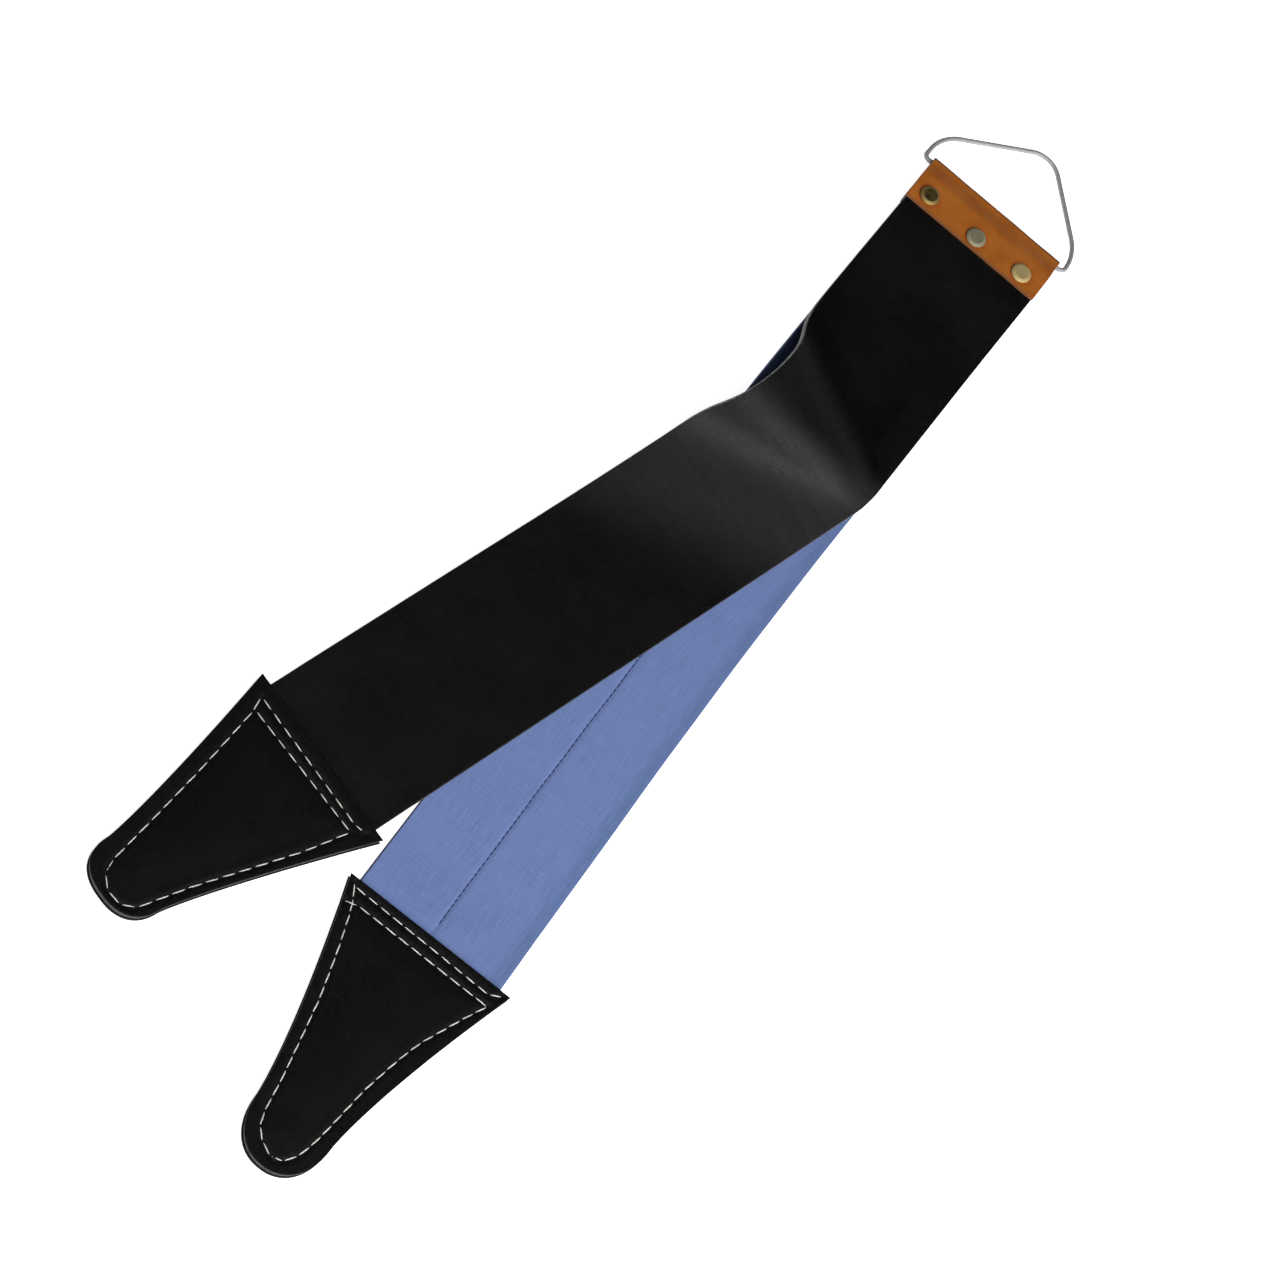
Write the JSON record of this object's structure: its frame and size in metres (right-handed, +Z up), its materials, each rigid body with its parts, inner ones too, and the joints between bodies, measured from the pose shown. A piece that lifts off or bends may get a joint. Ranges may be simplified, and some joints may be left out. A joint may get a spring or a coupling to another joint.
{
  "type": "leather strop",
  "caption": "Hanging strop with a leather strap and a canvas strap, each sewn into a tapered leather handle, joined by a riveted leather clip with a wire ring.",
  "frame": {"origin": "under the middle of the canvas strap, on the flat underside of its lower layer, level with the surface that the strop lies on", "axes": "+Y from the handles towards the clip and ring, +X across the straps, +Z up; the leather strap turns away towards -X"},
  "size_m": [0.1743, 0.6501, 0.0324],
  "materials": {
    "black_leather": "smooth satin",
    "handle_leather": "smooth satin, cut edges grey",
    "tan_leather": "vegetable-tanned, satin",
    "blue_canvas": "fine plain weave, matte",
    "navy_thread": "matte thread",
    "white_thread": "waxed thread",
    "aged_brass": "aged, satin",
    "nickel_wire": "nickel-plated, bright"
  },
  "bodies": {
    "clip": {"ring_clip": "tan_leather", "rivet_cap_left": "aged_brass", "rivet_cap_middle": "aged_brass", "rivet_cap_right": "aged_brass", "rivet_post_left": "aged_brass", "rivet_post_middle": "aged_brass", "rivet_post_right": "aged_brass"},
    "ring": {"hanging_ring": "nickel_wire"},
    "canvas_strap": {"canvas_back": "blue_canvas", "canvas_face": "blue_canvas", "canvas_seam_thread": "navy_thread"},
    "leather_strap": {"leather_strap": "black_leather"},
    "leather_handle": {"leather_handle_back": "handle_leather", "leather_handle_back_edge_thread": "white_thread", "leather_handle_back_row_thread": "white_thread", "leather_handle_front": "handle_leather", "leather_handle_front_edge_thread": "white_thread", "leather_handle_front_row_thread": "white_thread", "leather_handle_core": "handle_leather"},
    "canvas_handle": {"canvas_handle_back": "handle_leather", "canvas_handle_back_edge_thread": "white_thread", "canvas_handle_back_row_thread": "white_thread", "canvas_handle_front": "handle_leather", "canvas_handle_front_edge_thread": "white_thread", "canvas_handle_front_row_thread": "white_thread", "canvas_handle_core": "handle_leather"}
  },
  "joints": [
    {"name": "ring_swing", "type": "hinge", "parent": "clip", "child": "ring", "pos_m": [0, 0.2508, 0.00425], "axis": [1, 0, 0], "range_deg": [0, 120]},
    {"name": "canvas_flex", "type": "hinge", "parent": "clip", "child": "canvas_strap", "pos_m": [0, 0.21, 0.00476], "axis": [-1, 0, 0], "range_deg": [0, 35], "deforming": ["canvas_back", "canvas_face", "canvas_seam_thread", "leather_strap"]},
    {"name": "leather_flex", "type": "hinge", "parent": "canvas_strap", "child": "leather_strap", "pos_m": [0, 0.182, 0.00246], "axis": [-1, 0, 0], "range_deg": [0, 55], "deforming": ["leather_strap"]},
    {"name": "leather_handle_flex", "type": "hinge", "parent": "leather_strap", "child": "leather_handle", "pos_m": [-0.07822, -0.1766, 0.0028], "axis": [-0.9605, 0.2782, 0], "range_deg": [0, 60], "deforming": ["leather_strap"]},
    {"name": "canvas_handle_flex", "type": "hinge", "parent": "canvas_strap", "child": "canvas_handle", "pos_m": [0, -0.208, 0.00275], "axis": [-1, 0, 0], "range_deg": [0, 60], "deforming": ["canvas_back", "canvas_face", "canvas_seam_thread"]}
  ]
}
